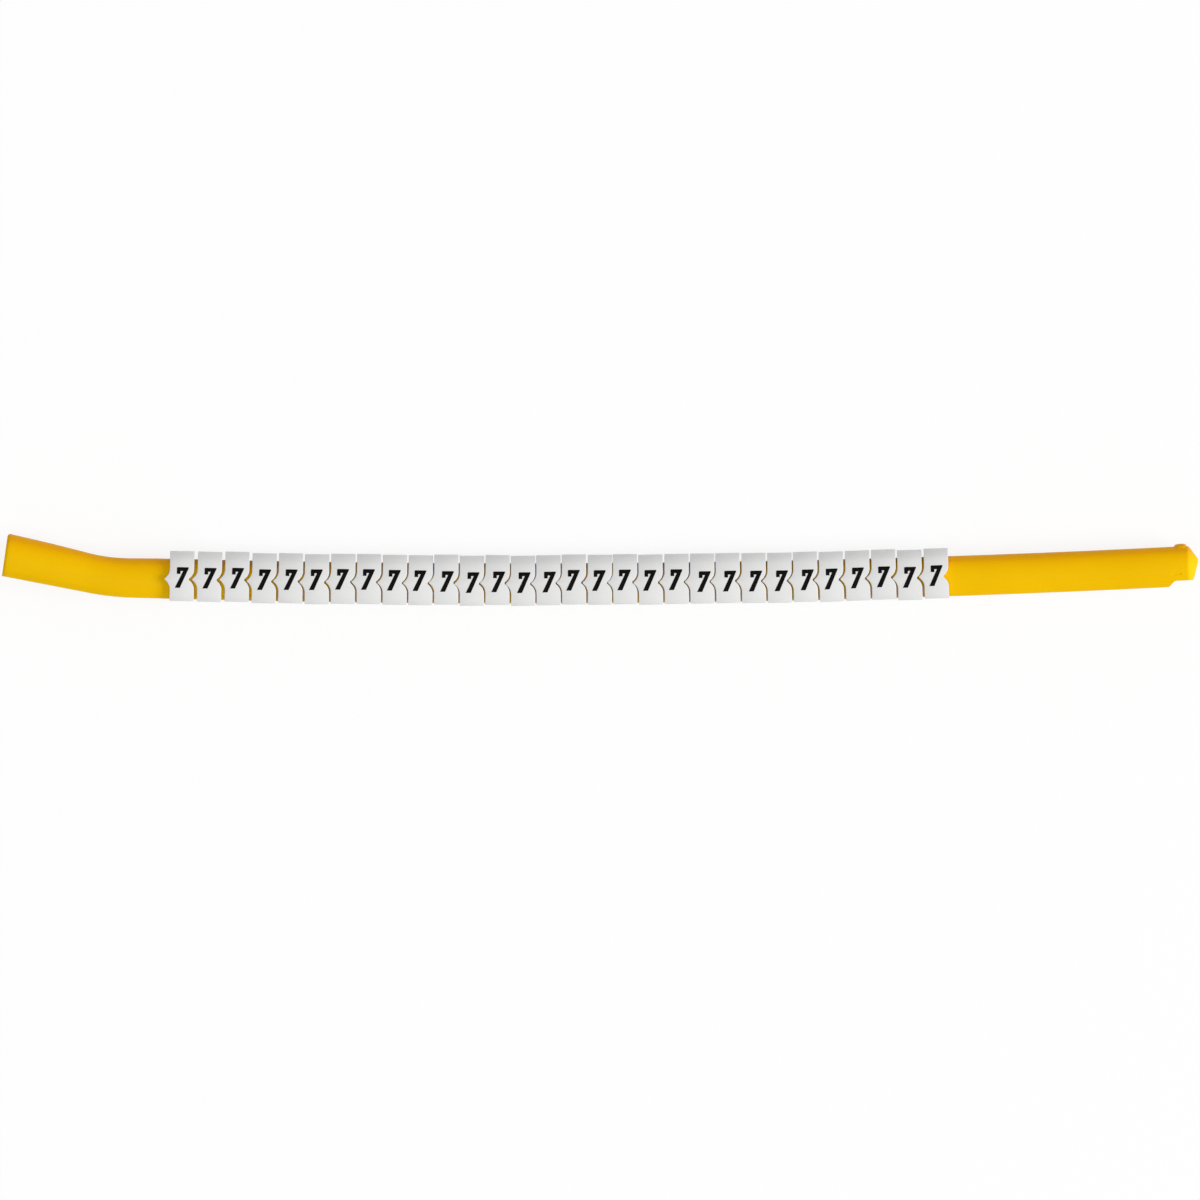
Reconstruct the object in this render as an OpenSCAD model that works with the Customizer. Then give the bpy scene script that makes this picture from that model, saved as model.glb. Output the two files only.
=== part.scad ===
// Cable marker wand: a grooved rod that carries a row of clip-on chevron markers.
// Millimetres, +Z up. The wand lies along X, with its spine towards +Y and its groove
// towards -Y. The legend faces look up, and the markers' backs lie on Z = 0.

/* [Wand] */
// Width of the wand, from its spine to its lips
wand_w = 6.2; // [5.2:0.1:8]
// Depth of the wand, from flank to flank
wand_d = 5.4; // [4.6:0.1:6.4]
// Wall behind the groove, at the spine
wand_spine = 1.8; // [1:0.1:2.6]
// Radius of the rounded spine, seen end-on
spine_r = 3.1; // [2.8:0.1:4]
// Radius of the rounded flanks, seen end-on
flank_r = 5.5; // [4.5:0.1:9]
// Height of the slanted lips on both sides of the groove
lip_h = 0.8; // [0.5:0.05:1.2]
// Width of the groove along the wand
groove_w = 2; // [1.2:0.1:2.5]
// Radius of the wand's slow bow along its length
bow_r = 2000; // [800:50:6000]
// Distance from the row's left end to the lowest point of the bow
bow_low = 53.5; // [30:0.5:90]
// Plain length between the bend and the first marker
lead_len = 6.1; // [2:0.1:20]
// Plain length between the last marker and the nose
tail_len = 35; // [10:0.5:60]

/* [Mouth] */
// Angle between the mouth and the run of the wand
bend_deg = 10.2; // [4:0.1:20]
// Radius of the bend behind the mouth
bend_r = 38; // [25:1:80]
// Length of the straight mouth that takes the cable
mouth_len = 13.1; // [8:0.1:25]
// Width of the mouth at its end
mouth_w = 6.75; // [6:0.05:8]
// Depth of the mouth at its end
mouth_d = 5.9; // [5.4:0.1:6.6]
// Radius of the cable bore in the mouth
mouth_bore_r = 1.95; // [1.6:0.05:2.1]
// Distance from the wand's axis to the bore's, towards the spine
bore_rise = 0.35; // [0:0.05:0.5]
// Length of the cone that opens the bore at the mouth's end
cone_len = 1; // [0.4:0.1:3]
// Wall left around that cone at the rim
rim_wall = 0.6; // [0.4:0.05:0.8]
// Bevel around the outside of the rim
rim_bevel = 0.3; // [0.1:0.05:0.5]

/* [Nose] */
// Length of solid wand behind the nose, where the groove ends
plug_len = 3; // [1.5:0.1:8]
// Length of the rounded nose past the walls
nose_len = 3.4; // [2.4:0.1:4.5]
// Depth of the nose below the wand's axis
nose_drop = 2.3; // [1.8:0.05:2.6]
// Radius of the dome that rounds the nose
dome_r = 3.55; // [3.45:0.05:5]
// Height of the dome's centre above the wand's axis
dome_rise = 0.35; // [0:0.05:0.6]
// Length over which the lips slope away before the nose
lip_cut = 1.2; // [0.5:0.1:3]
// Height of the stop above the spine
stop_h = 0.4; // [0.2:0.05:0.8]
// Radius of the stop's rounded back
stop_r = 1; // [0.7:0.05:1.5]
// Width of the stop across the spine
stop_w = 3; // [1.5:0.1:3.6]
// Height of the small point on the nose
point_h = 0.25; // [0.1:0.05:0.6]
// Radius at the foot of that point
point_r = 0.7; // [0.4:0.05:1]
// Length of the sink mark on each side of the nose
mark_len = 1.4; // [0.6:0.1:2]
// Radius of the sink mark
mark_r = 0.14; // [0.08:0.01:0.2]

/* [Markers] */
// Number of markers in the row
marker_count = 30; // [4:1:40]
// Mean distance from one marker to the next
marker_pitch = 4; // [3.95:0.05:6]
// Length of one marker along the wand
marker_len = 3.8; // [2.6:0.1:3.85]
// Wall of a marker at its flanks and lips
marker_wall = 0.8; // [0.5:0.05:1.2]
// Wall of a marker over the wand's spine
marker_spine = 1; // [0.6:0.05:1.5]
// Radius of a marker's rounded spine, seen end-on
marker_spine_r = 3.9; // [3.6:0.1:5]
// Radius of the gently curved legend face and back
face_r = 8; // [6:0.5:30]
// How far a marker's lips reach past the wand's lips
lip_hang = 0.3; // [0.1:0.05:0.6]
// Reach of the pointed tooth on a marker's left edge
tooth_d = 0.85; // [0.4:0.05:1.2]
// Radius of the tooth's point
tooth_tip_r = 0.2; // [0.1:0.05:0.35]
// Radius of the hollow on both sides of the tooth
tooth_root_r = 2.2; // [1:0.1:3]

/* [Seating] */
// Clearance between a marker and the wand's flanks
flank_gap = 0.08; // [0.06:0.01:0.2]
// Clearance between a marker and the wand's spine
spine_gap = 0.25; // [0.15:0.05:0.5]
// Clearance between a marker's lips and the wand's
lip_gap = 0.15; // [0.12:0.01:0.3]
// How far a marker sits to either side of its place across the wand
seat_shift = 0.1; // [0:0.01:0.12]
// How far a marker sits to either side of its place along the wand
seat_slide = 0.03; // [0:0.005:0.035]
// How far a marker leans to either side, in degrees
seat_lean = 0.4; // [0:0.05:0.5]
// How much tighter the row is packed in its middle than on average
row_squeeze = 0.012; // [0:0.001:0.015]
// How far the whole row sits from its place towards the nose
row_shift = 0.2; // [0:0.05:1]
// How far the first marker has slid out of the row towards the mouth
row_loose = 0.7; // [0:0.05:1]
// Number of markers that have slid out, each less than the one before
loose_count = 6; // [1:1:8]

/* [Hidden] */
$fn = 64;
// Overlap of pieces that are cut from or joined to each other
eps = 0.3;
// Inset that keeps a joined piece just under the skin of the run
skin = 0.02;
// Steps of each arc in the chevron's curve
tooth_steps = 5;

function marker_name(k) = str("marker_", k < 10 ? "0" : "", k);
function bow_deg(s) = s / bow_r * 180 / PI;
function turn(a, p) = [p.x * cos(a) - p.y * sin(a), p.x * sin(a) + p.y * cos(a)];
// Height of a round flank at a distance from the axis
function flank_z(half, r, x) = half - r + sqrt(r * r - x * x);

// The wand's section
half_w = wand_w / 2;
half_d = wand_d / 2;
groove_top = half_w - wand_spine;
slant = half_w - lip_h + flank_z(half_d, flank_r, half_w - lip_h);

// The markers' sections
bore_half = half_d + flank_gap;
bore_top = half_w + spine_gap;
bore_slant = slant + sqrt(2) * lip_gap;
marker_half = bore_half + marker_wall;
marker_top = bore_top + marker_spine;
marker_base = half_w + lip_hang;
marker_slant = bore_slant + sqrt(2) * marker_wall;

// The chevron tooth: a round point between two hollows, each touching the next
tooth_sum = tooth_tip_r + tooth_root_r;
tooth_half = sqrt(tooth_sum * tooth_sum - pow(tooth_sum - tooth_d, 2));
tooth_turn = acos((tooth_sum - tooth_d) / tooth_sum);
function arc_pts(c, r, a0, a1) =
    [for (i = [0:tooth_steps]) let (a = a0 + (a1 - a0) * i / tooth_steps) c + r * [cos(a), sin(a)]];
tooth_curve = concat(
    arc_pts([-tooth_root_r, -tooth_half], tooth_root_r, 0, tooth_turn),
    arc_pts([tooth_tip_r - tooth_d, 0], tooth_tip_r, 180 + tooth_turn, 180 - tooth_turn),
    arc_pts([-tooth_root_r, tooth_half], tooth_root_r, -tooth_turn, 0));

// Places along the bow, counted from its lowest point
row_start = -bow_low;
row_half = marker_count * marker_pitch / 2;
bend_s = row_start - lead_len;
run_end = row_start + 2 * row_half + tail_len;

// Small uneven seating, the same in every build
seat = rands(-1, 1, 3 * marker_count, 29);
function row_share(k) = (2 * k - 1 - marker_count) / marker_count;
function row_slide(k) = row_shift - row_loose * pow(max(0, 1 - (k - 1) / loose_count), 2);
function marker_s(k) = row_start + row_half
    + row_half * (row_share(k) + row_squeeze * (pow(row_share(k), 3) - row_share(k)))
    + row_slide(k) + seat_slide * seat[3 * k - 3];
function marker_shift(k) = seat_shift * seat[3 * k - 2];
function marker_lean(k) = seat_lean * seat[3 * k - 1];

// Points of the plan, and the box that they span
function bow_pt(s, x, y) =
    [bow_r * sin(bow_deg(s)), bow_r * (1 - cos(bow_deg(s)))] + turn(bow_deg(s), [x, y]);
function mouth_pt(x, y) =
    let (p = [0, bend_r] + turn(-bend_deg, [x, y - bend_r])) bow_pt(bend_s, p.x, p.y);
rim = mouth_w / 2;
x_min = min(mouth_pt(-mouth_len, rim_bevel - rim).x, mouth_pt(rim_bevel - mouth_len, -rim).x);
x_max = bow_pt(run_end, nose_len + point_h, dome_rise).x;
y_max = max(mouth_pt(rim_bevel - mouth_len, rim).y,
    bow_pt(run_end, stop_r, half_w + stop_h).y);
y_min = min([for (k = [1:marker_count]) bow_pt(marker_s(k), 0, marker_shift(k) - marker_base).y]);

// Moves the lowest point of the bow so that the part's box is centred over the origin
module centred() {
    translate([-(x_min + x_max) / 2, -(y_min + y_max) / 2, marker_half])
        children();
}

// A frame on the bow: X along the wand, Y towards its spine
module on_bow(s) {
    translate(bow_pt(s, 0, 0))
        rotate(bow_deg(s))
            children();
}

// A frame on the bend, at a share of its angle from the run to the mouth
module on_bend(share) {
    on_bow(bend_s)
        translate([0, bend_r, 0])
            rotate(-share * bend_deg)
                translate([0, -bend_r, 0])
                    children();
}

// Sweeps a section around the bend, and a little way into the run
module along_bend() {
    on_bow(bend_s)
        translate([0, bend_r, 0])
            rotate(-90 - bend_deg)
                rotate_extrude(angle = bend_deg + eps / bend_r * 180 / PI, $fn = 720)
                    translate([bend_r, 0])
                        children();
}

// Extrudes a section along X from x0 to x1. The section's x axis points to the groove.
module along(x0, x1) {
    translate([x1, 0, 0])
        rotate([90, 0, -90])
            linear_extrude(x1 - x0)
                children();
}

// Outline with a round spine, bowed flanks and slanted lips.
// Its x axis points to the groove and its y axis across the flanks.
module outline(top, base, half, side_r, back_r, lips) {
    band = (half + back_r) / 2;
    intersection() {
        polygon([
            [-2 * top, lips + 2 * top], [base, lips - base],
            [base, base - lips], [-2 * top, -lips - 2 * top]
        ]);
        translate([0, half - side_r])
            circle(side_r, $fn = 128);
        translate([0, side_r - half])
            circle(side_r, $fn = 128);
        union() {
            translate([back_r - top, 0])
                circle(back_r, $fn = 128);
            translate([back_r - top, -band])
                square([2 * base + top, 2 * band]);
        }
    }
}

// The groove along the run, with straight sides so that it leaves the mould
module groove(inset) {
    translate([inset - groove_top, inset - groove_w / 2])
        square([groove_top + wand_w, groove_w - 2 * inset]);
}

// The cable bore with its slot
module bore() {
    translate([-bore_rise, 0])
        circle(mouth_bore_r);
    translate([-bore_rise, -groove_w / 2])
        square([bore_rise + wand_w, groove_w]);
}

// Sweeps a section along the run, from one place on the bow to another
module along_bow(s0, s1) {
    translate([0, bow_r, 0])
        rotate(bow_deg(s0) - 90)
            rotate_extrude(angle = bow_deg(s1 - s0), $fn = 1440)
                translate([bow_r, 0])
                    children();
}

// Cone along the mouth whose radius grows by a step from the bend to the rim
module mouth_cone(r, grow) {
    slope = grow / mouth_len;
    translate([-mouth_len - eps, 0, 0])
        rotate([0, 90, 0])
            cylinder(h = mouth_len + 2 * eps, r1 = r + grow + slope * eps, r2 = r - slope * eps,
                $fn = 128);
}

// Everything above a flat that falls away from an edge at the bend by a step at the rim
module mouth_flat(edge, grow) {
    slope = grow / mouth_len;
    translate([0, 0, -2 * wand_w])
        linear_extrude(4 * wand_w)
            polygon([
                [eps, slope * eps - edge], [eps, 2 * wand_w],
                [-mouth_len, 2 * wand_w], [-mouth_len, -edge - grow]
            ]);
}

// Plan or side view of the mouth with a bevel at the rim
module mouth_rim(w) {
    translate([0, 0, -wand_w])
        linear_extrude(2 * wand_w)
            polygon([
                [2 * eps, w], [rim_bevel - mouth_len, w], [-mouth_len, w - rim_bevel],
                [-mouth_len, rim_bevel - w], [rim_bevel - mouth_len, -w], [2 * eps, -w]
            ]);
}

// The flared mouth past the bend: the wand's outline, with each of its edges opened out
module mouth() {
    wide = (mouth_w - wand_w) / 2;
    deep = (mouth_d - wand_d) / 2;
    intersection() {
        translate([0, 0, half_d - flank_r])
            mouth_cone(flank_r, deep);
        translate([0, 0, flank_r - half_d])
            mouth_cone(flank_r, deep);
        union() {
            translate([0, half_w - spine_r, 0])
                mouth_cone(spine_r, wide);
            translate([-2 * mouth_len, -wand_w - spine_r, -(half_d + spine_r) / 2])
                cube([3 * mouth_len, wand_w + half_w, half_d + spine_r]);
        }
        mouth_flat(half_w, wide);
        rotate([45, 0, 0])
            mouth_flat(slant / sqrt(2), (wide + deep) / sqrt(2));
        rotate([-45, 0, 0])
            mouth_flat(slant / sqrt(2), (wide + deep) / sqrt(2));
        mouth_rim(mouth_w / 2);
        rotate([90, 0, 0])
            mouth_rim(mouth_d / 2);
    }
}

// What is cut from the wand: the groove through run and bend, and the bore in the mouth
module cable_way() {
    along_bow(bend_s, run_end - plug_len)
        groove(0);
    along_bend()
        groove(skin);
    on_bend(1) {
        along(-mouth_len - eps, eps)
            bore();
        translate([-mouth_len, bore_rise, 0])
            rotate([0, 90, 0])
                cylinder(h = cone_len, r1 = mouth_d / 2 - rim_wall, r2 = mouth_bore_r);
    }
}

// The closed nose past the walls, with its stop on the spine and its small point
module nose() {
    intersection() {
        along(-eps, nose_len + eps)
            outline(half_w - skin, nose_drop, half_d - skin, flank_r, spine_r, slant);
        translate([nose_len - dome_r, dome_rise, 0])
            sphere(dome_r, $fn = 128);
    }
    translate([nose_len - point_r, dome_rise, 0])
        rotate([0, 90, 0])
            cylinder(h = point_r + point_h, r1 = 2 * point_r, r2 = point_r / 4);
    intersection() {
        translate([stop_r, half_w + stop_h - stop_r, 0])
            cylinder(h = wand_d, r = stop_r, center = true);
        translate([stop_r, half_w + stop_h - stop_w / 2, 0])
            sphere(stop_w / 2 + skin);
    }
}

// What the walls lose at the nose: the sloped ends of the lips and the two sink marks
module nose_cuts() {
    translate([0, 0, -wand_d])
        linear_extrude(2 * wand_d)
            polygon([
                [-lip_cut, -half_w], [eps, eps * (half_w - nose_drop) / lip_cut - nose_drop],
                [eps, -wand_w], [-lip_cut, -wand_w]
            ]);
    for (side = [-1, 1])
        translate([-mark_len / 3, -nose_drop / 2, side * flank_z(half_d, flank_r, nose_drop / 2)])
            rotate([0, 90, 0])
                cylinder(h = mark_len, r = mark_r);
}

// The applicator wand
module wand() {
    color([0.94, 0.74, 0.02])
        centred()
            difference() {
                union() {
                    along_bow(bend_s, run_end)
                        outline(half_w, half_w, half_d, flank_r, spine_r, slant);
                    along_bend()
                        outline(half_w - skin, half_w - skin, half_d - skin, flank_r, spine_r,
                            slant - skin);
                    on_bend(1)
                        mouth();
                    on_bow(run_end)
                        nose();
                }
                cable_way();
                on_bow(run_end)
                    nose_cuts();
            }
}

// A marker seen from above: a tooth on its left edge and the same form cut out of its right
module marker_plan() {
    polygon(concat(
        [[-marker_len / 2, -2 * marker_base]],
        [for (p = tooth_curve) [p.x - marker_len / 2, p.y]],
        [[-marker_len / 2, 2 * marker_top], [marker_len / 2, 2 * marker_top]],
        [for (i = [len(tooth_curve) - 1:-1:0]) tooth_curve[i] + [marker_len / 2, 0]],
        [[marker_len / 2, -2 * marker_base]]
    ));
}

// One clip-on marker
module marker(k) {
    color([0.9, 0.9, 0.88])
        centred()
            on_bow(marker_s(k))
                translate([0, marker_shift(k), 0])
                    rotate(marker_lean(k))
                        intersection() {
                            along(-marker_len, marker_len)
                                difference() {
                                    outline(marker_top, marker_base, marker_half, face_r,
                                        marker_spine_r, marker_slant);
                                    outline(bore_top, marker_base + eps, bore_half,
                                        flank_r + flank_gap, spine_r + flank_gap, bore_slant);
                                }
                            translate([0, 0, -wand_d])
                                linear_extrude(2 * wand_d)
                                    marker_plan();
                        }
}

wand();
for (k = [1:marker_count])
    marker(k);
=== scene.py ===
"""Looks of a loaded cable marker wand: yellow wand, white chevron clips and printed sevens."""

import logging
import math
from dataclasses import dataclass
from enum import Enum

import bpy
import numpy as np
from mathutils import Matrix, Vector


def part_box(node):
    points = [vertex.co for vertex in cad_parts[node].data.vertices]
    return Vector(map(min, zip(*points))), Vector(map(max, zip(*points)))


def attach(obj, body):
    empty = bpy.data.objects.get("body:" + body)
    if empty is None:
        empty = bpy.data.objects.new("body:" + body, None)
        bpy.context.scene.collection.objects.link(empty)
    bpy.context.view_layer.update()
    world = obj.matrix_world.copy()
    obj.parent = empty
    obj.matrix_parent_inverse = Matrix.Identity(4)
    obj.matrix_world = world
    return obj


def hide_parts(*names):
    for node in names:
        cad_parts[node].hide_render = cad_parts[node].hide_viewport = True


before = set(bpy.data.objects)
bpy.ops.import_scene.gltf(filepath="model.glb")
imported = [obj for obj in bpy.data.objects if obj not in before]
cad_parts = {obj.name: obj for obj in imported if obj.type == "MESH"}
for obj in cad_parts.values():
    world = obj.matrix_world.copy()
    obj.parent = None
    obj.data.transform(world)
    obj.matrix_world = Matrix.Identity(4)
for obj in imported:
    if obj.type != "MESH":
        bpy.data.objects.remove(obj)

LOG = logging.getLogger("cable_marker")
MM = 0.001
FAR = 1.0
TINY = 1e-9
LEAST_LEAN = 1e-3
FADED = -60.0
EASE_POWER = 1.5
CREASE_DEG = 40.0
NOISE_MIDDLE = (0.3, 0.7)
GRAIN_STRENGTH = 0.35
BODY = "root"
WHITE = (1.0, 1.0, 1.0, 1.0)
Colour = tuple[float, float, float, float]
Place = tuple[float, float, float]


class Slot(Enum):
    """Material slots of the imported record."""

    WAND = "wand"
    MARKER = "marker"


class Grain(Enum):
    """What a noise pattern stands for, with its scale per metre and its detail."""

    CLOUD = (90.0, 2.0)
    FLOW = (420.0, 3.0)
    SPARK = (9000.0, 2.0)


def soft_min(values: list[np.ndarray], soft: float) -> np.ndarray:
    """Smallest of several lengths, with a rounded change from one to the next.

    Formula: least - soft * log(sum of exp((least - length) / soft)).

    Args:
        values: Arrays of lengths in metres that fit each other's shape.
        soft: Half width of the change, in metres.

    Returns:
        The rounded smallest length at each place.
    """
    least = np.minimum.reduce(np.broadcast_arrays(*values))
    total = sum(np.exp(np.maximum((least - value) / soft, FADED)) for value in values)
    return least - soft * np.log(total)


def ease(share: np.ndarray) -> np.ndarray:
    """Rises from 0 to 1 with soft ends: share^power * (1 + power - power * share).

    Args:
        share: Places from 0 to 1.

    Returns:
        The eased places.
    """
    return share ** EASE_POWER * (1 + EASE_POWER - EASE_POWER * share)


def tube_faces(rows: int, lanes: int) -> np.ndarray:
    """Quads of a closed tube.

    Each row of points is a ring that runs over a number of lanes and comes back under them. Quads
    join each ring to the next, and strips between over and under close the first and last ring.

    Args:
        rows: Number of rings.
        lanes: Points on each side of a ring.

    Returns:
        Rows of four vertex numbers.
    """
    number = np.arange(rows * 2 * lanes).reshape(rows, 2 * lanes)
    beside = np.roll(number, -1, axis=1)
    wall = np.stack([number[:-1], beside[:-1], beside[1:], number[1:]], axis=-1).reshape(-1, 4)
    over, under = number[:, :lanes], number[:, ::-1][:, :lanes]
    first, last = (
        np.stack([over[row, :-1], over[row, 1:], under[row, 1:], under[row, :-1]], axis=-1)
        for row in (0, -1))
    return np.concatenate([wall, first[:, ::-1], last])


def put_mesh(name: str, points: np.ndarray, faces: np.ndarray) -> bpy.types.Object:
    """Puts a closed surface into a new object at the origin, with its faces turned outwards.

    The sum of the faces' signed volumes tells whether they look outwards: a sixth of each
    triangle's triple product, taken from the middle of the piece.

    Args:
        name: Name of the object and its mesh.
        points: Vertices in metres, one row each.
        faces: Quads as rows of four vertex numbers.

    Returns:
        The new object, linked into the scene.
    """
    corner = points[faces] - points.mean(axis=0)
    volume = sum(np.einsum("ij,ij->", corner[:, 0], np.cross(corner[:, a], corner[:, b]))
                 for a, b in ((1, 2), (2, 3)))
    if volume < 0:
        faces = faces[:, ::-1]
    mesh = bpy.data.meshes.new(name)
    mesh.from_pydata(points.tolist(), [], faces.tolist())
    mesh.polygons.foreach_set("use_smooth", np.ones(len(faces), dtype=bool))
    mesh.set_sharp_from_angle(angle=math.radians(CREASE_DEG))
    mesh.update()
    piece = bpy.data.objects.new(name, mesh)
    bpy.context.scene.collection.objects.link(piece)
    return piece


def dress(piece: bpy.types.Object, material: bpy.types.Material) -> None:
    """Gives a piece one material in place of those that it has.

    Args:
        piece: The piece to dress.
        material: Its new material.
    """
    piece.data.materials.clear()
    piece.data.materials.append(material)


class Bench:
    """A material's node tree, with short calls for the nodes that the finishes share."""

    def __init__(self, name: str) -> None:
        """Starts an empty material with an output and Object coordinates.

        Args:
            name: Name of the material.
        """
        self.material = bpy.data.materials.new(name)
        self.material.use_nodes = True
        self.tree = self.material.node_tree
        self.tree.nodes.clear()
        self.out = self.node("ShaderNodeOutputMaterial")
        self.place = self.node("ShaderNodeTexCoord").outputs["Object"]

    def node(self, kind: str, **settings: object) -> bpy.types.Node:
        """Adds a node and sets its properties.

        Args:
            kind: Type of the node.
            settings: Properties of the node, by name.

        Returns:
            The new node.
        """
        made = self.tree.nodes.new(kind)
        for key, value in settings.items():
            setattr(made, key, value)
        return made

    def link(self, source: bpy.types.NodeSocket, target: bpy.types.NodeSocket) -> None:
        """Joins two sockets.

        Args:
            source: The output that gives the value.
            target: The input that takes it.
        """
        self.tree.links.new(source, target)

    def shader(self, **values: object) -> bpy.types.Node:
        """Adds the surface shader with constant values, and joins it to the output.

        Args:
            values: Constants by the name of their socket, with _ for each space.

        Returns:
            The shader's node.
        """
        made = self.node("ShaderNodeBsdfPrincipled")
        for key, value in values.items():
            made.inputs[key.replace("_", " ")].default_value = value
        self.link(made.outputs["BSDF"], self.out.inputs["Surface"])
        return made

    def noise(self, grain: Grain) -> bpy.types.NodeSocket:
        """Adds a noise pattern.

        Args:
            grain: What the pattern stands for.

        Returns:
            The pattern's value.
        """
        made = self.node("ShaderNodeTexNoise")
        made.inputs["Scale"].default_value, made.inputs["Detail"].default_value = grain.value
        self.link(self.place, made.inputs["Vector"])
        return made.outputs["Fac"]

    def ramp(self, value: bpy.types.NodeSocket, low: Colour, high: Colour) -> bpy.types.NodeSocket:
        """Maps the middle of a noise pattern to a step from one colour to another.

        Args:
            value: The pattern's value.
            low: Colour below the middle.
            high: Colour above the middle.

        Returns:
            The colour's socket.
        """
        made = self.node("ShaderNodeValToRGB")
        for stop, position, colour in zip(made.color_ramp.elements, NOISE_MIDDLE, (low, high)):
            stop.position, stop.color = position, colour
        self.link(value, made.inputs["Fac"])
        return made.outputs["Color"]

    def span(self, value: bpy.types.NodeSocket, low: float, high: float) -> bpy.types.NodeSocket:
        """Maps the middle of a noise pattern to a range of numbers.

        Args:
            value: The pattern's value.
            low: Number below the middle.
            high: Number above the middle.

        Returns:
            The number's socket.
        """
        made = self.node("ShaderNodeMapRange")
        sockets = ("From Min", "From Max", "To Min", "To Max")
        for socket, limit in zip(sockets, (*NOISE_MIDDLE, low, high)):
            made.inputs[socket].default_value = limit
        self.link(value, made.inputs["Value"])
        return made.outputs["Result"]

    def blend(self, share: str, low: bpy.types.NodeSocket, high: Colour) -> bpy.types.NodeSocket:
        """Goes from one colour to another by a share that is kept on the mesh's vertices.

        Args:
            share: Name of the share.
            low: Colour where the share is 0.
            high: Colour where the share is 1.

        Returns:
            The colour's socket.
        """
        made = self.node("ShaderNodeMixRGB")
        kept = self.node("ShaderNodeAttribute", attribute_name=share)
        self.link(kept.outputs["Fac"], made.inputs["Fac"])
        self.link(low, made.inputs["Color1"])
        made.inputs["Color2"].default_value = high
        return made.outputs["Color"]

    def relief(self, height: bpy.types.NodeSocket, step: float) -> bpy.types.NodeSocket:
        """Turns a pattern into a bump.

        Args:
            height: The pattern's value.
            step: Height of the bump in metres.

        Returns:
            The bumped normal's socket.
        """
        made = self.node("ShaderNodeBump")
        made.inputs["Distance"].default_value = step
        made.inputs["Strength"].default_value = GRAIN_STRENGTH
        self.link(height, made.inputs["Height"])
        return made.outputs["Normal"]


@dataclass(frozen=True)
class MouldedPlastic:
    """Finish of a moulded piece: two close shades, an uneven gloss and a fine moulded grain."""

    name: str
    shade: Colour
    tint: Colour
    gloss: tuple[float, float]
    mirror: float
    depth: float
    spread: Place
    glow: float
    grain_step: float

    def material(self) -> bpy.types.Material:
        """Builds the finish's material.

        Returns:
            The material.
        """
        bench = Bench(self.name)
        shader = bench.shader(Specular_IOR_Level=self.mirror, Subsurface_Scale=self.depth,
                              Subsurface_Radius=self.spread, Subsurface_Weight=self.glow)
        gloss = bench.span(bench.noise(Grain.FLOW), *self.gloss)
        bench.link(self.colour(bench), shader.inputs["Base Color"])
        bench.link(gloss, shader.inputs["Roughness"])
        bench.link(bench.relief(bench.noise(Grain.SPARK), self.grain_step), shader.inputs["Normal"])
        return bench.material

    def colour(self, bench: Bench) -> bpy.types.NodeSocket:
        """Colour of the plastic: soft clouds of its two shades.

        Args:
            bench: The node tree that takes the colour's nodes.

        Returns:
            The colour's socket.
        """
        return bench.ramp(bench.noise(Grain.CLOUD), self.shade, self.tint)


@dataclass(frozen=True)
class SpineShadePlastic(MouldedPlastic):
    """A moulded plastic with painted shade: its colour deepens to amber where a share, kept on its
    vertices, grows.
    """

    # Deeper amber painted as shade on the spine side, which the lamps light less.
    spine_shade: Colour
    share: str = "spine_shade_share"

    def colour(self, bench: Bench) -> bpy.types.NodeSocket:
        """Colour of the plastic: the clouds of its two shades, blended by the share to a deeper
        amber painted as shade.

        Args:
            bench: The node tree that takes the colour's nodes.

        Returns:
            The colour's socket.
        """
        return bench.blend(self.share, super().colour(bench), self.spine_shade)

    def mark(self, piece: bpy.types.Object, share: np.ndarray) -> None:
        """Keeps the share of painted amber shade on a piece's vertices.

        Args:
            piece: The piece that has this finish.
            share: One value from 0 to 1 for each vertex.
        """
        kept = piece.data.attributes.new(self.share, "FLOAT", "POINT")
        kept.data.foreach_set("value", share.astype(np.float32))


@dataclass(frozen=True)
class PrintInk:
    """Finish of the printed digits: black ink, a little uneven."""

    name: str = "print_ink"
    deep: Colour = (0.0030, 0.0026, 0.0026, 1.0)
    thin: Colour = (0.0065, 0.0058, 0.0055, 1.0)
    gloss: tuple[float, float] = (0.45, 0.6)
    mirror: float = 0.03

    def material(self) -> bpy.types.Material:
        """Builds the ink's material.

        Returns:
            The material.
        """
        bench = Bench(self.name)
        shader = bench.shader(Specular_IOR_Level=self.mirror)
        colour = bench.ramp(bench.noise(Grain.SPARK), self.deep, self.thin)
        gloss = bench.span(bench.noise(Grain.FLOW), *self.gloss)
        bench.link(colour, shader.inputs["Base Color"])
        bench.link(gloss, shader.inputs["Roughness"])
        return bench.material


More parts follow.
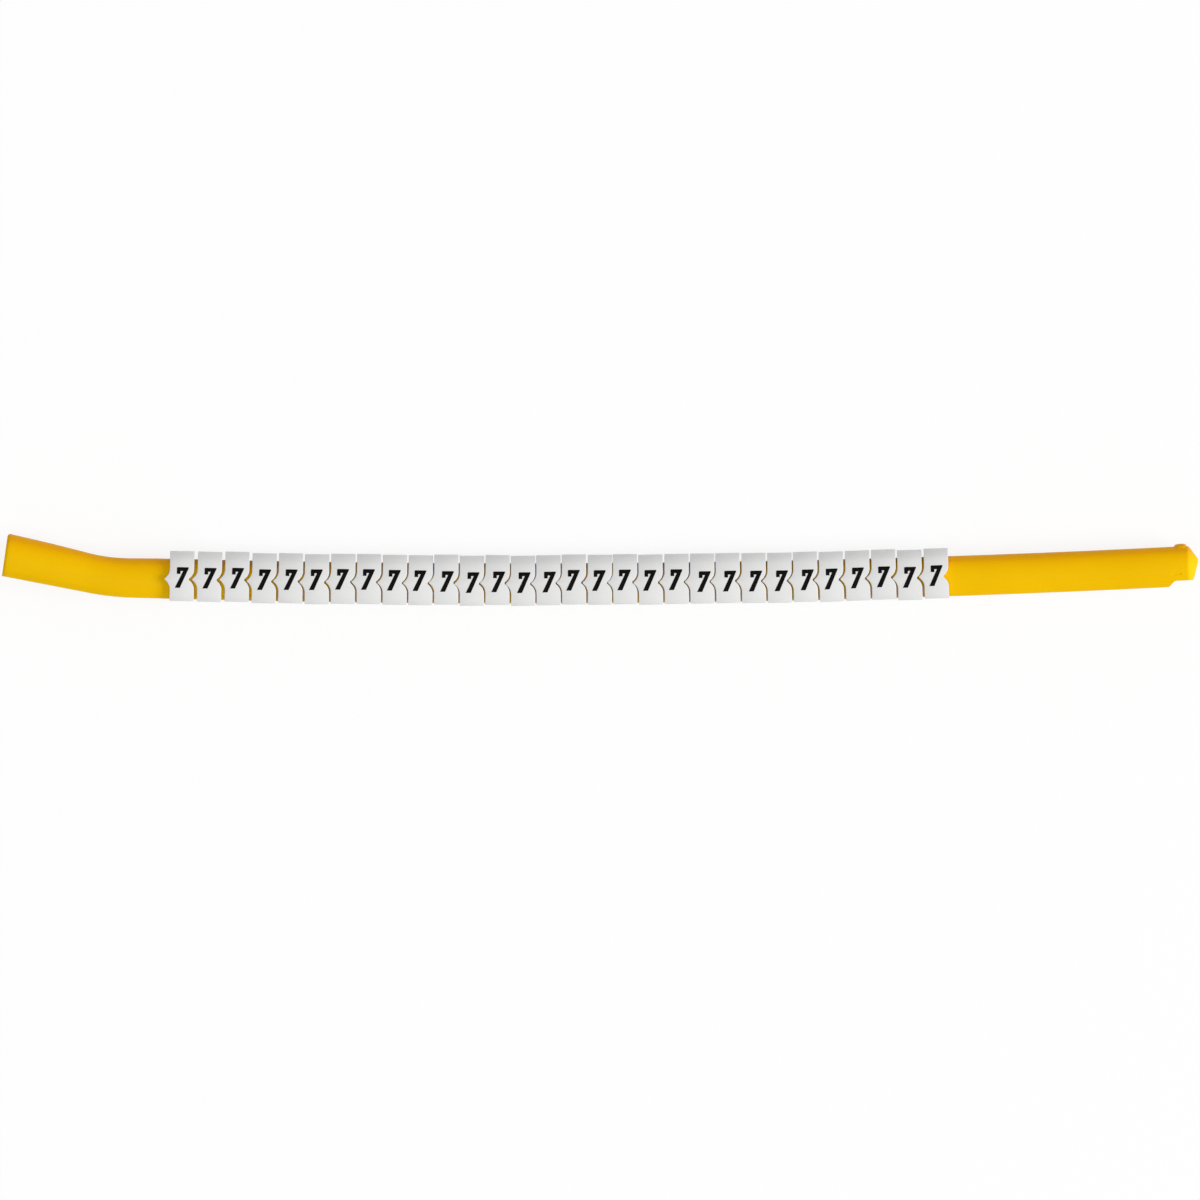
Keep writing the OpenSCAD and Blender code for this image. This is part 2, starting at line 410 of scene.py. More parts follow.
@dataclass(frozen=True)
class Outline:
    """Section of the wand or a marker, as its reach from the axis at an angle from the spine.

    The section lies inside two shallow flank arcs, a spine arc, two slanted lips at 45 degrees and
    a flat base. Sizes are in metres.
    """

    top: float
    base: float
    half: float
    flank_r: float
    spine_r: float
    slant: float
    soft_spine: float
    soft_lip: float
    let_out: float = 20 * MM

    def arc(self, angle: np.ndarray, centre: tuple[float, float],
            radius: np.ndarray | float) -> np.ndarray:
        """Reach of a circle.

        Formula: d + sqrt(d^2 - |centre|^2 + radius^2), d being the centre's place along the ray.

        Args:
            angle: Angle from the spine, in radians.
            centre: The circle's centre, across and up from the axis.
            radius: The circle's radius.

        Returns:
            The reach in metres.
        """
        along = centre[0] * np.cos(angle) + centre[1] * np.sin(angle)
        return along + np.sqrt(along ** 2 - centre[0] ** 2 - centre[1] ** 2 + radius ** 2)

    def wall(self, lean: np.ndarray, offset: np.ndarray | float) -> np.ndarray:
        """Reach of a straight wall: its offset over the ray's lean, or far if the ray leans away.

        Args:
            lean: How far the ray leans towards the wall, from -1 to 1 times the wall's own factor.
            offset: Distance of the wall from the axis, times the same factor.

        Returns:
            The reach in metres.
        """
        return np.where(lean > LEAST_LEAN, offset / np.maximum(lean, LEAST_LEAN), FAR)

    def reach(self, angle: np.ndarray, base: np.ndarray | float) -> np.ndarray:
        """Distance from the axis to the outline.

        Formula: the soft smallest of the flank arcs' and the spine arc's reach, and then of that
        and the walls of lips and base. Past the axis the spine arc is let out, so that it bounds
        the spine only.

        Args:
            angle: Angle from the spine, in radians.
            base: Distance from the axis to the flat base.

        Returns:
            The reach in metres.
        """
        sink = self.flank_r - self.half
        spine = self.arc(angle, (self.top - self.spine_r, 0.0), self.spine_r)
        flanks = [self.arc(angle, (0.0, side * sink), self.flank_r) for side in (-1, 1)]
        body = soft_min([*flanks, spine + self.let_out * np.maximum(0.0, -np.cos(angle))],
                        self.soft_spine)
        lips = [self.wall(side * np.sin(angle) - np.cos(angle), self.slant) for side in (1, -1)]
        return soft_min([body, *lips, self.wall(-np.cos(angle), base)], self.soft_lip)

    def corner(self, base: np.ndarray | float) -> np.ndarray:
        """Angle of the corner between the slanted lip and the flat base.

        Args:
            base: Distance from the axis to the flat base.

        Returns:
            The angle from the spine, in radians.
        """
        return np.arctan2(self.slant - base, -np.asarray(base))


def fan(share: np.ndarray, end: np.ndarray | float) -> np.ndarray:
    """Angles from the spine.

    Half the share turns to the flank's crown, and the other half on to the end angle.

    Args:
        share: Places across the section, from -1 at one lip over 0 at the spine to 1 at the other.
        end: Angle at the lips, in radians.

    Returns:
        The angles in radians.
    """
    size = np.abs(share)
    past = np.maximum(0.0, 2 * size - 1) * (end - math.pi / 2)
    return np.sign(share) * (np.minimum(1.0, 2 * size) * math.pi / 2 + past)


def polar(reach: np.ndarray, angle: np.ndarray) -> np.ndarray:
    """Points across the wand and up from its axis.

    Args:
        reach: Distance from the axis.
        angle: Angle from the spine, in radians.

    Returns:
        The points, with their two coordinates last.
    """
    return np.stack([reach * np.cos(angle), reach * np.sin(angle)], axis=-1)


@dataclass
class Wand:
    """The yellow applicator wand: one tube of sections from the mouth's rim to the nose.

    Sizes are in metres. The path is a straight mouth, a bend and a slow bow, and its places are
    counted from the bow's lowest point.
    """

    name: str = "wand_shell"
    node: str = "wand"
    outline: Outline = Outline(
        top=3.1 * MM, base=3.1 * MM, half=2.7 * MM, flank_r=5.5 * MM, spine_r=3.1 * MM,
        slant=4.496 * MM, soft_spine=0.09 * MM, soft_lip=0.03 * MM)
    axis_z: float = 3.58 * MM
    past_lip: float = math.radians(1.5)
    groove: float = 1.0 * MM
    groove_top: float = 1.3 * MM
    bow_r: float = 2000 * MM
    row_start: float = -53.5 * MM
    row_len: float = 120 * MM
    lead: float = 6.1 * MM
    tail: float = 35 * MM
    plug: float = 3.0 * MM
    bend: float = math.radians(10.2)
    bend_r: float = 38 * MM
    mouth_len: float = 13.06 * MM
    flare: tuple[float, float] = (0.22 * MM, 0.25 * MM)
    bore_r: float = 1.95 * MM
    bore_rise: float = 0.35 * MM
    bore_past: float = 0.25 * MM
    cone_len: float = 1.0 * MM
    cone_r: float = 2.35 * MM
    rim: float = 0.45 * MM
    rim_slant: float = 0.45 * MM
    corner: tuple[float, float] = (-12.8 * MM, 3.375 * MM)
    nose_len: float = 3.65 * MM
    nose_drop: float = 2.2 * MM
    nose_base: float = 0.9
    lip_cut: tuple[float, float] = (-1.05 * MM, 0.15 * MM)
    tip_rise: float = 0.8 * MM
    tip_r: float = 0.24 * MM
    tip_slopes: tuple[float, float, float] = (1.5, 3.3, 1.7)
    tip_soft: float = 0.16 * MM
    stop: tuple[float, float, float, float] = (0.4 * MM, 1.02 * MM, 0.98 * MM, 1.5 * MM)
    mark: tuple[float, float, float] = (0.1 * MM, -1.15 * MM, 0.17 * MM)
    mark_span: tuple[float, float] = (-0.47 * MM, 0.93 * MM)
    neck: tuple[float, float, float] = (0.2 * MM, -77.0 * MM, 6.0 * MM)
    step: float = 0.05 * MM
    rim_rings: int = 5
    mouth_rings: int = 12
    bend_rings: int = 14
    run_rings: int = 42
    nose_spans: tuple[tuple[float, float, int], ...] = (
        (-2.6 * MM, -1.2 * MM, 5), (-1.1 * MM, 0.0, 9), (0.05 * MM, 2.0 * MM, 30))
    tip_start: float = 2.08 * MM
    tip_rings: int = 28
    lanes: int = 151
    # Painted shade: the finish's amber deepens the colour towards the spine and is full at this
    # distance from the axis.
    spine_shade_end: float = 2.5 * MM
    finish: SpineShadePlastic = SpineShadePlastic(
        name="wand_plastic", shade=(0.86, 0.495, 0.0006, 1.0), tint=(0.90, 0.535, 0.0008, 1.0),
        gloss=(0.36, 0.48), mirror=0.03, depth=0.5 * MM, spread=(1.0, 0.4, 0.03), glow=0.12,
        grain_step=0.004 * MM, spine_shade=(0.83, 0.385, 0.0005, 1.0))

    def on_bow(self, place: np.ndarray) -> tuple[np.ndarray, np.ndarray]:
        """Follows the bow: a circle of the bow's radius that touches Y = 0 at its lowest place.

        Args:
            place: Distance along the bow from its lowest point.

        Returns:
            The point in plan and the heading in radians.
        """
        head = place / self.bow_r
        return self.bow_r * np.stack([np.sin(head), 1 - np.cos(head)], axis=-1), head

    def rows(self) -> dict[str, np.ndarray]:
        """Lays out the rings along the path.

        Returns:
            For each ring its point in plan, its heading, its place past the nose's foot, its share
            of the mouth's flare, the inset of the rim's rounded edge and the bore's radius, which
            is 0 outside the mouth.
        """
        foot = self.row_start + self.row_len + self.tail
        bend_at = self.row_start - self.lead
        turn = np.linspace(0, math.pi / 2, self.rim_rings)
        rim = -self.mouth_len + self.rim * (1 - np.cos(turn))
        cone = -self.mouth_len + self.cone_len
        mouth = np.concatenate([rim, np.linspace(cone, 0, self.mouth_rings), [self.bore_past]])
        inset = np.concatenate([self.rim * (1 - np.sin(turn)), np.zeros(len(mouth) - len(rim))])
        widen = (self.cone_r - self.bore_r) * np.clip((cone - mouth) / self.cone_len, 0, 1)
        base, base_head = self.on_bow(np.array(bend_at))
        bent = self.bend * np.linspace(1, 0, self.bend_rings)[:-1]
        angle = np.concatenate([np.full(len(mouth), self.bend), bent])
        ahead = np.concatenate([mouth, [self.bore_past + self.step], np.zeros(len(bent) - 1)])
        local = self.bend_r * np.stack([-np.sin(angle), 1 - np.cos(angle)], axis=-1)
        local = local + ahead[:, None] * np.stack([np.cos(angle), -np.sin(angle)], axis=-1)
        cos, sin = np.cos(base_head), np.sin(base_head)
        run = np.linspace(bend_at, foot - self.plug, self.run_rings)
        bow, head = self.on_bow(run)
        spans = (*self.nose_spans, (self.tip_start, self.nose_len, self.tip_rings))
        past = np.concatenate([[self.step - self.plug], *(np.linspace(*span) for span in spans)])
        tip, tip_head = self.on_bow(np.array(foot))
        nose = tip + past[:, None] * np.array([np.cos(tip_head), np.sin(tip_head)])
        rest = np.zeros(len(bent) + len(run) + len(past))
        return {
            "plan": np.concatenate([base + local @ np.array([[cos, sin], [-sin, cos]]), bow, nose]),
            "head": np.concatenate([base_head - angle, head, np.full(len(past), tip_head)]),
            "past": np.concatenate([np.full(len(angle), -FAR), run - foot, past]),
            "flare": np.concatenate([np.clip(-mouth / self.mouth_len, 0, 1), rest]),
            "inset": np.concatenate([inset, rest]),
            "bore": np.concatenate([self.bore_r + widen, rest]),
        }

    def outside(self, share: np.ndarray, row: dict[str, np.ndarray],
                base: np.ndarray) -> np.ndarray:
        """Points of the outer skin: the outline's reach less the rim's inset, opened by the flare.

        Args:
            share: Places across the section, from one lip over the spine to the other.
            row: The rings' sizes, as columns.
            base: Distance from the axis to the lips' ends.

        Returns:
            The points of each ring.
        """
        angle = fan(share, self.outline.corner(base) + self.past_lip)
        skin = polar(self.outline.reach(angle, base) - row["inset"], angle)
        grow = np.array(self.flare) / np.array([self.outline.base, self.outline.half])
        return skin * (1 + row["flare"][..., None] * grow)

    def inside(self, share: np.ndarray, row: dict[str, np.ndarray], base: np.ndarray,
               ends: np.ndarray) -> np.ndarray:
        """Points of the inner skin: the mouth's bore, the run's groove, a flat base at the nose.

        The groove's reach is the smaller of floor and side wall, the bore's the larger of its
        circle and the slot's side wall, and where the wand is closed the points lie on a line
        across its base.

        Args:
            share: Places across the section, from one lip over the spine to the other.
            row: The rings' sizes, as columns.
            base: Distance from the axis to the lips' ends.
            ends: Height of the outer skin's ends, from the axis.

        Returns:
            The points of each ring.
        """
        angle = fan(share, np.arctan2(self.groove, -base))
        side = self.outline.wall(np.abs(np.sin(angle)), self.groove)
        groove = np.minimum(side, self.outline.wall(np.cos(angle), self.groove_top))
        radius = np.maximum(row["bore"], self.bore_r)
        circle = self.outline.arc(angle, (self.bore_rise, 0.0), radius)
        bore = np.maximum(circle, np.where(np.cos(angle) < 0, side, 0))
        hollow = polar(np.where(row["bore"] > 0, bore, groove), angle)
        flat = np.stack(np.broadcast_arrays(-base, self.nose_base * share * ends), axis=-1)
        return np.where((row["past"] > self.step / 2 - self.plug)[..., None], flat, hollow)

    def shape_nose(self, points: np.ndarray, past: np.ndarray) -> np.ndarray:
        """Raises the stop on the spine and tapers the nose.

        The stop lifts the spine by height * sqrt(1 - |along|^3 - up^2), along and up being shares
        of its half length and half width. The taper limits the distance from the tip's axis to
        1 / sqrt((cos / reach)^2 + (sin / side)^2), where reach is the taper's towards the spine or
        the lips and side is its height. Each grows from the tip with its own slope.

        Args:
            points: Points across and up from the axis, ring by ring.
            past: Place of each ring past the nose's foot.

        Returns:
            The shaped points.
        """
        height, middle, half_len, half_w = self.stop
        share = 1 - np.abs((past - middle) / half_len) ** 3 - (points[..., 1] / half_w) ** 2
        lift = height * np.sqrt(np.maximum(share, 0)) * (points[..., 0] > 0)
        arm = points + np.stack([lift - self.tip_rise, np.zeros_like(lift)], axis=-1)
        size = np.maximum(np.linalg.norm(arm, axis=-1), TINY)
        back = np.where(past > 0, np.maximum(self.nose_len - past, 0), FAR)
        spine, lips, side = (self.tip_r + slope * back for slope in self.tip_slopes)
        reach = np.where(arm[..., 0] > 0, spine, lips)
        limit = 1 / np.hypot(arm[..., 0] / size / reach, arm[..., 1] / size / side)
        arm = arm * (soft_min([size, limit], self.tip_soft) / size)[..., None]
        return arm + np.array([self.tip_rise, 0.0])

    def press_mark(self, points: np.ndarray, past: np.ndarray) -> np.ndarray:
        """Presses the short sink mark into both sides: a bell curve across it, with faded ends.

        Args:
            points: Points across and up from the axis, ring by ring.
            past: Place of each ring past the nose's foot.

        Returns:
            The pressed points.
        """
        depth, middle, spread = self.mark
        first, last = self.mark_span
        start = np.clip(0.5 + (past - first) / spread, 0, 1)
        window = start * np.clip(0.5 + (last - past) / spread, 0, 1)
        dent = depth * window * np.exp(-((points[..., 0] - middle) / spread) ** 2)
        return points - np.stack([np.zeros_like(dent), np.sign(points[..., 1]) * dent], axis=-1)

    def place(self, rings: dict[str, np.ndarray]) -> np.ndarray:
        """Finds the shift in plan that brings the path to the wand's solid.

        The nose tips meet in X, and the rim's high corners in Y.

        Args:
            rings: The rings' layout.

        Returns:
            The shift in metres.
        """
        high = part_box(self.node)[1]
        ahead = np.stack([np.cos(rings["head"]), np.sin(rings["head"])], axis=-1)
        side = ahead[:, ::-1] * np.array([-1.0, 1.0])
        tip = rings["plan"][-1] + (self.tip_rise - self.tip_r) * side[-1]
        along, across = self.corner
        rim = rings["plan"][0] + (along + self.mouth_len) * ahead[0] + across * side[0]
        return np.array([high.x - tip[0], high.y - rim[1]])

    def build(self) -> bpy.types.Object:
        """Builds the wand's shell, in place of its solid.

        The neck draws the spine in by a bell curve along X, and the rim's slant slides the mouth's
        rings back in proportion to their height towards the spine.

        Returns:
            The wand's object.
        """
        rings = self.rows()
        row = {key: value[:, None] for key, value in rings.items() if key != "plan"}
        share = np.linspace(-1, 1, self.lanes)[None, :]
        first, last = self.lip_cut
        drop = ease(np.clip((row["past"] - first) / (last - first), 0, 1))
        base = self.outline.base - drop * (self.outline.base - self.nose_drop)
        outer = self.outside(share, row, base)
        inner = self.inside(share, row, base + row["flare"] * self.flare[0], outer[:, -1:, 1])
        ring = self.shape_nose(np.concatenate([outer, inner[:, ::-1]], axis=1), row["past"])
        ring = self.press_mark(ring, row["past"])
        depth, middle, spread = self.neck
        offset = self.place(rings)
        waist = depth * np.exp(-((rings["plan"][:, :1] + offset[0] - middle) / spread) ** 2)
        across = ring[..., 0] - waist * np.maximum(0, ring[..., 0] / self.outline.top)
        ahead = np.stack([np.cos(rings["head"]), np.sin(rings["head"])], axis=-1)[:, None]
        side = ahead[..., ::-1] * np.array([-1.0, 1.0])
        height = 0.5 + across / (2 * (self.outline.top + self.flare[0]))
        slide = self.rim_slant * row["flare"] * height
        plan = rings["plan"][:, None] + offset + across[..., None] * side - slide[..., None] * ahead
        points = np.concatenate([plan, self.axis_z + ring[..., 1:]], axis=-1)
        shell = put_mesh(self.name, points.reshape(-1, 3), tube_faces(len(ring), self.lanes))
        dress(shell, self.finish.material())
        # Painted shade: the colour deepens to amber from the axis towards the spine, standing in
        # for the shade on that side.
        self.finish.mark(shell, np.clip(across / self.spine_shade_end, 0, 1).reshape(-1) ** 2)
        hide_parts(self.node)
        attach(shell, BODY)
        LOG.info("built %s", self.name)
        return shell


@dataclass
class Seat:
    """Where a marker sits: a point on the wand's axis, and directions along and across the wand."""

    origin: np.ndarray
    along: np.ndarray
    across: np.ndarray

    @classmethod
    def of_marker(cls, node: str, base: float, band: float = 0.4 * MM) -> "Seat":
        """Finds a marker's place from the flat ends of its lips.

        The lowest points in Y lie on the lips' end plane. A straight line fitted to them gives the
        marker's turn, their middle gives its place along the wand, and its axis lies base further
        up.

        Args:
            node: Name of the marker's solid.
            base: Distance in metres from the wand's axis to the ends of the lips.
            band: How far above the lowest point the ends of the lips are looked for, in metres.

        Returns:
            The marker's place in plan.
        """
        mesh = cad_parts[node].data
        points = np.empty(len(mesh.vertices) * 3)
        mesh.vertices.foreach_get("co", points)
        plan = points.reshape(-1, 3)[:, :2]
        ends = plan[plan[:, 1] < plan[:, 1].min() + band]
        turn = math.atan(np.polyfit(ends[:, 0], ends[:, 1], 1)[0])
        along = np.array([math.cos(turn), math.sin(turn)])
        across = np.array([-along[1], along[0]])
        reach = ends @ along
        middle = (reach.min() + reach.max()) / 2
        return cls(along * middle + across * ((ends @ across).mean() + base), along, across)

    def lay(self, flat: np.ndarray, height: np.ndarray) -> np.ndarray:
        """Carries points of the marker's own plan, with their heights, into the shared frame.

        Args:
            flat: Points along and across the wand.
            height: Their heights above the floor.

        Returns:
            The points in the shared frame.
        """
        plan = self.origin + flat[..., :1] * self.along + flat[..., 1:] * self.across
        return np.concatenate([plan, height[..., None]], axis=-1)


@dataclass(frozen=True)
class Marker:
    """A white clip-on marker: a C-shaped wall whose two ends are cut along the same chevron.

    Sizes are in metres.
    """

    outer: Outline = Outline(
        top=4.35 * MM, base=3.4 * MM, half=3.58 * MM, flank_r=8.0 * MM, spine_r=3.9 * MM,
        slant=5.8396 * MM, soft_spine=0.06 * MM, soft_lip=0.05 * MM)
    bore: Outline = Outline(
        top=3.35 * MM, base=4.4 * MM, half=2.78 * MM, flank_r=5.58 * MM, spine_r=3.18 * MM,
        slant=4.7082 * MM, soft_spine=0.05 * MM, soft_lip=0.03 * MM)
    axis_z: float = 3.58 * MM
    past_lip: tuple[float, float] = (math.radians(2.0), math.radians(-0.6))
    length: float = 3.76 * MM
    tooth: float = 0.8 * MM
    tooth_tip: float = 0.2 * MM
    tooth_root: float = 1.8 * MM
    edge: float = 0.09 * MM
    edge_rings: int = 4
    lanes: int = 141
    crowds: tuple[tuple[float, float], ...] = ((5.0, 0.03), (1.0, 0.18))
    samples: int = 2001

    def chevron(self, across: np.ndarray) -> np.ndarray:
        """How far an end is shifted along the wand at a distance from the axis.

        The curve is a small circle at the tooth's point, and a large circle on both sides that it
        touches and that ends square to the marker's edge.

        Args:
            across: Distance from the wand's axis.

        Returns:
            The shift, which is negative towards the mouth.
        """
        total = self.tooth_tip + self.tooth_root
        half = math.sqrt(total ** 2 - (total - self.tooth) ** 2)
        size = np.abs(across)
        rise = np.sqrt(np.maximum(self.tooth_tip ** 2 - size ** 2, 0))
        tip = self.tooth_tip - self.tooth - rise
        hollow = np.clip(half - size, 0, self.tooth_root)
        root = np.sqrt(self.tooth_root ** 2 - hollow ** 2) - self.tooth_root
        return np.where(size < self.tooth_tip * half / total, tip, root)

    def lane_shares(self) -> np.ndarray:
        """Spreads the lanes across the section, closest where the tooth crosses the flanks.

        The density is 1 plus a bell curve for each crowd, and its running sum is cut evenly.

        Returns:
            Places across the section, from -1 at one lip over 0 at the spine to 1 at the other.
        """
        fine = np.linspace(-1, 1, self.samples)
        near = np.abs(np.abs(fine) - 0.5)
        dense = 1 + sum(weight * np.exp(-(near / width) ** 2) for weight, width in self.crowds)
        total = np.concatenate([[0], np.cumsum((dense[1:] + dense[:-1]) / 2)])
        return np.interp(np.linspace(0, total[-1], self.lanes), total, fine)

    def build(self, name: str, seat: Seat) -> bpy.types.Object:
        """Builds one marker.

        A ring is the wall's section, drawn in by the rounded edge at both ends. Its points lie at
        -length / 2 or length / 2, plus the chevron's shift at their distance from the axis.

        Args:
            name: Name of the piece.
            seat: Where the marker sits.

        Returns:
            The marker's object.
        """
        share = self.lane_shares()
        out_angle, in_angle = (
            fan(share, float(skin.corner(self.outer.base)) + past)
            for skin, past in zip((self.outer, self.bore), self.past_lip))
        wall = np.concatenate([
            polar(self.outer.reach(out_angle, self.outer.base), out_angle),
            polar(self.bore.reach(in_angle, self.bore.base), in_angle)[::-1],
        ])
        ahead = np.roll(wall, -1, axis=0) - np.roll(wall, 1, axis=0)
        normal = np.stack([ahead[:, 1], -ahead[:, 0]], axis=-1)
        normal = normal / np.linalg.norm(ahead, axis=-1)[:, None]
        turn = np.linspace(0, math.pi / 2, self.edge_rings)
        drawn = (1 - np.sin(turn)) * self.edge
        back = self.length / 2 - (1 - np.cos(turn)) * self.edge
        inset = np.concatenate([drawn, [0.0], drawn[::-1]])
        along = np.concatenate([-back, [0.0], back[::-1]])
        ring = wall[None] - inset[:, None, None] * normal[None]
        flat = np.stack([along[:, None] + self.chevron(ring[..., 0]), ring[..., 0]], axis=-1)
        points = seat.lay(flat, self.axis_z + ring[..., 1])
        return put_mesh(name, points.reshape(-1, 3), tube_faces(len(along), self.lanes))

    def crown(self, across: np.ndarray) -> np.ndarray:
        """Height of the legend face: the flank arc's, whose top lies half above the wand's axis.

        Args:
            across: Distance from the wand's axis.

        Returns:
            The height above the floor.
        """
        sink = self.outer.flank_r - self.outer.half
        return self.axis_z - sink + np.sqrt(self.outer.flank_r ** 2 - across ** 2)


@dataclass(frozen=True)
class Seven:
    """The printed seven, drawn as one stroke between two rails and laid on the legend face.

    Sizes are in metres, in the marker's own plan, with the digit centred on the wand's axis.
    """

    tall: float = 3.2 * MM
    left: float = -0.80 * MM
    right: float = 1.10 * MM
    bar: float = 0.60 * MM
    serif: float = 0.56 * MM
    serif_drop: float = 1.04 * MM
    foot: tuple[float, float] = (-1.08 * MM, -0.30 * MM)
    crook: float = 0.16 * MM
    film: float = 0.015 * MM
    soft: int = 3
    steps: tuple[int, ...] = (8, 14, 26)
    lanes: int = 6

    def rails(self) -> tuple[np.ndarray, np.ndarray]:
        """Works out the outer and inner edge of the stroke.

        Each rail runs from the serif up to the bar, along the bar and down the stem.

        Returns:
            The outer and the inner rail, as rows of points.
        """
        top, low = self.tall / 2, -self.tall / 2
        outer = np.array([[self.left, top - self.serif_drop], [self.left, top], [self.right, top],
                          [self.foot[1], low]])
        inner = np.array([[self.left + self.serif, top - self.serif_drop],
                          [self.left + self.serif, top - self.bar], [self.crook, top - self.bar],
                          [self.foot[0], low]])
        return self.soften(outer), self.soften(inner)

    def soften(self, corners: np.ndarray) -> np.ndarray:
        """Samples a line through corners and rounds them.

        Each point becomes the mean of itself and its neighbours on both sides, and the line's ends
        stay.

        Args:
            corners: The line's corners, as rows of points.

        Returns:
            The rounded line, as rows of points.
        """
        knots = np.concatenate([[0], np.cumsum(self.steps)])
        at = np.arange(knots[-1] + 1)
        line = np.stack([np.interp(at, knots, corners[:, axis]) for axis in (0, 1)], axis=1)
        edge = self.soft // 2
        before, after = 2 * line[:1] - line[edge:0:-1], 2 * line[-1:] - line[-2:-2 - edge:-1]
        padded = np.concatenate([before, line, after])
        return np.mean([padded[shift:shift + len(line)] for shift in range(self.soft)], axis=0)

    def build(self, name: str, seat: Seat, marker: Marker,
              shift: tuple[float, float]) -> bpy.types.Object:
        """Builds the closed film of one digit.

        A point of the film is outer rail + share * (inner rail - outer rail), and its height is the
        legend face's at that point, plus the film's half thickness on top and minus it below.

        Args:
            name: Name of the piece.
            seat: Where the marker sits.
            marker: The marker that carries the digit.
            shift: How far the print lies off the marker's middle, along and across the wand, in
                metres.

        Returns:
            The digit's object.
        """
        outer, inner = self.rails()
        share = np.linspace(0.0, 1.0, self.lanes)[None, :, None]
        flat = outer[:, None] + share * (inner - outer)[:, None] + np.array(shift)
        height = marker.crown(flat[..., 1])
        over, under = seat.lay(flat, height + self.film), seat.lay(flat, height - self.film)
        loop = np.concatenate([over, under[:, ::-1]], axis=1)
        return put_mesh(name, loop.reshape(-1, 3), tube_faces(len(loop), self.lanes))


@dataclass
class MarkerRow:
    """The row of clip-on markers with their digits, printed in strips with a print shift each."""

    count: int = 30
    strip: int = 5
    prints: tuple[tuple[float, float], ...] = (
        (0.0 * MM, 0.25 * MM), (-0.15 * MM, 0.40 * MM), (0.12 * MM, 0.19 * MM),
        (-0.15 * MM, 0.36 * MM), (0.26 * MM, 0.0 * MM), (-0.05 * MM, 0.12 * MM))
    marker: Marker = Marker()
    seven: Seven = Seven()
    ink: PrintInk = PrintInk()
    finish: MouldedPlastic = MouldedPlastic(
        name="marker_plastic", shade=(0.735, 0.735, 0.728, 1.0), tint=(0.765, 0.765, 0.758, 1.0),
        gloss=(0.42, 0.56), mirror=0.3, depth=0.4 * MM, spread=(1.0, 0.95, 0.85), glow=0.1,
        grain_step=0.004 * MM)

    def build(self) -> None:
        """Builds each marker in place of its solid and prints its digit."""
        plastic, ink = self.finish.material(), self.ink.material()
        for number in range(1, self.count + 1):
            node = f"marker_{number:02d}"
            seat = Seat.of_marker(node, self.marker.outer.base)
            clip = self.marker.build(f"clip_{number:02d}", seat)
            dress(clip, plastic)
            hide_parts(node)
            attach(clip, BODY)
            shift = self.prints[(number - 1) // self.strip % len(self.prints)]
            digit = self.seven.build(f"digit_{number:02d}", seat, self.marker, shift)
            dress(digit, ink)
            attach(digit, BODY)
            LOG.info("built %s with %s", clip.name, digit.name)


@dataclass(frozen=True)
class Lamp:
    """A square soft lamp that looks at the object, with its sides in metres and power in watts."""

    name: str
    place: Place
    size: float
    power: float

    def hang(self) -> None:
        """Hangs the lamp in its place."""
        data = bpy.data.lights.new(self.name, "AREA")
        data.size, data.energy = self.size, self.power
        lamp = bpy.data.objects.new(self.name, data)
        lamp.location = self.place
        lamp.rotation_euler = (-lamp.location).to_track_quat("-Z", "Y").to_euler()
        bpy.context.scene.collection.objects.link(lamp)


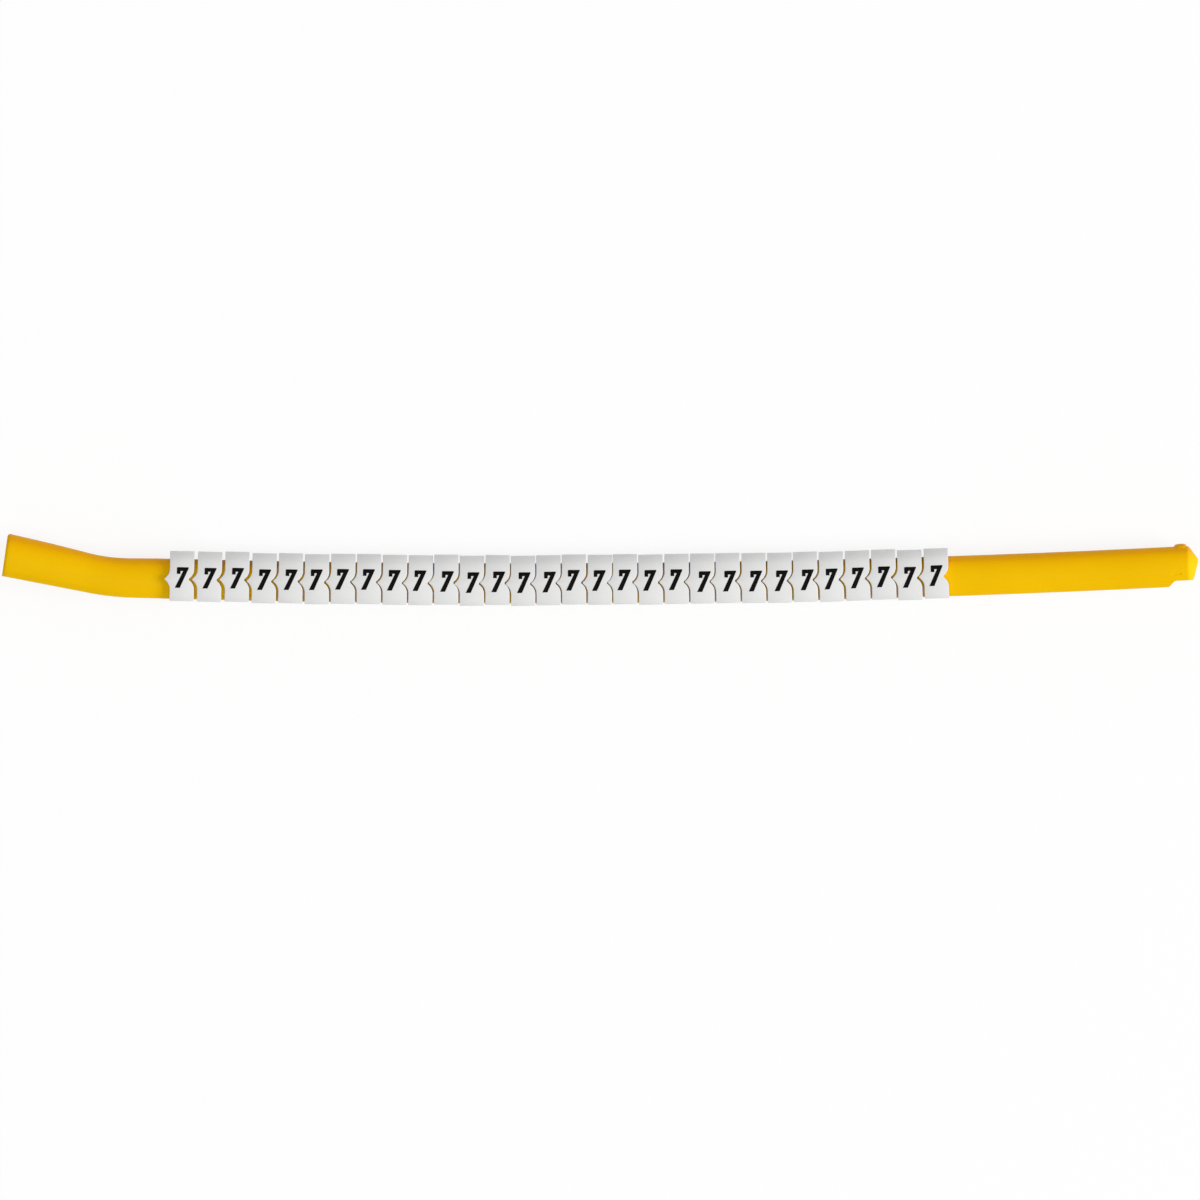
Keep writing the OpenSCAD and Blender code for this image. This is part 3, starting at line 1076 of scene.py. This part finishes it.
@dataclass
class Studio:
    """White floor, soft lamps and a camera straight above. Sizes are in metres."""

    view_width: float = 185.4 * MM
    view_middle: tuple[float, float] = (0.0, -4.65 * MM)
    camera_height: float = 0.6
    floor_half: float = 3.0
    floor_drop: float = 0.02 * MM
    floor_lift: float = 0.84
    floor_white: Colour = (0.96, 0.96, 0.96, 1.0)
    sky: float = 0.46
    lamps: tuple[Lamp, ...] = (
        Lamp("key_lamp", (-0.25, -0.35, 1.45), 0.60, 4.2),
        Lamp("side_lamp", (2.72, -0.32, 1.66), 1.70, 76.0))

    def build(self) -> None:
        """Sets up the whole studio."""
        scene = bpy.context.scene
        scene.view_settings.view_transform = "Standard"
        self.floor()
        self.world()
        for lamp in self.lamps:
            lamp.hang()
        data = bpy.data.cameras.new("camera")
        data.type = "ORTHO"
        data.ortho_scale = self.view_width
        camera = bpy.data.objects.new("camera", data)
        camera.location = (*self.view_middle, self.camera_height)
        scene.collection.objects.link(camera)
        scene.camera = camera
        LOG.info("set up the studio")

    def seen(self, tree: bpy.types.NodeTree) -> bpy.types.NodeSocket:
        """Tells rays that show the background: from the camera, mirrored or passed through.

        Args:
            tree: The node tree that takes the nodes.

        Returns:
            A socket that is 1 for such rays and 0 for the others.
        """
        path = tree.nodes.new("ShaderNodeLightPath")
        total = path.outputs["Is Camera Ray"]
        for name in ("Is Glossy Ray", "Is Transmission Ray"):
            more = tree.nodes.new("ShaderNodeMath")
            more.operation = "MAXIMUM"
            tree.links.new(total, more.inputs[0])
            tree.links.new(path.outputs[name], more.inputs[1])
            total = more.outputs[0]
        return total

    def floor(self) -> None:
        """Lays a white floor that keeps the object's shadow."""
        half = self.floor_half
        corners = np.array([[-half, -half], [half, -half], [half, half], [-half, half]])
        points = np.column_stack([corners, np.full(4, -self.floor_drop)])
        mesh = bpy.data.meshes.new("floor")
        mesh.from_pydata(points.tolist(), [], [[0, 1, 2, 3]])
        floor = bpy.data.objects.new("floor", mesh)
        bpy.context.scene.collection.objects.link(floor)
        bench = Bench("floor_paper")
        paper, glow = bench.node("ShaderNodeBsdfDiffuse"), bench.node("ShaderNodeEmission")
        paper.inputs["Color"].default_value = self.floor_white
        glow.inputs["Color"].default_value = WHITE
        share = bench.node("ShaderNodeMath", operation="MULTIPLY")
        share.inputs[1].default_value = self.floor_lift
        mix = bench.node("ShaderNodeMixShader")
        bench.link(self.seen(bench.tree), share.inputs[0])
        bench.link(share.outputs[0], mix.inputs[0])
        bench.link(paper.outputs[0], mix.inputs[1])
        bench.link(glow.outputs[0], mix.inputs[2])
        bench.link(mix.outputs[0], bench.out.inputs["Surface"])
        dress(floor, bench.material)

    def world(self) -> None:
        """Sets an even white surround whose light is softer than what the camera sees of it."""
        world = bpy.data.worlds.new("studio")
        bpy.context.scene.world = world
        world.use_nodes = True
        tree = world.node_tree
        tree.nodes.clear()
        out = tree.nodes.new("ShaderNodeOutputWorld")
        light, shown = (tree.nodes.new("ShaderNodeBackground") for _ in range(2))
        light.inputs["Strength"].default_value = self.sky
        for part in (light, shown):
            part.inputs["Color"].default_value = WHITE
        mix = tree.nodes.new("ShaderNodeMixShader")
        tree.links.new(self.seen(tree), mix.inputs[0])
        tree.links.new(light.outputs[0], mix.inputs[1])
        tree.links.new(shown.outputs[0], mix.inputs[2])
        tree.links.new(mix.outputs[0], out.inputs["Surface"])


def main() -> None:
    """Builds the studio and the pieces in order."""
    logging.basicConfig(level=logging.INFO)
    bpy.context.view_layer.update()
    Studio().build()
    Wand().build()
    MarkerRow().build()


if __name__ == "__main__":
    main()
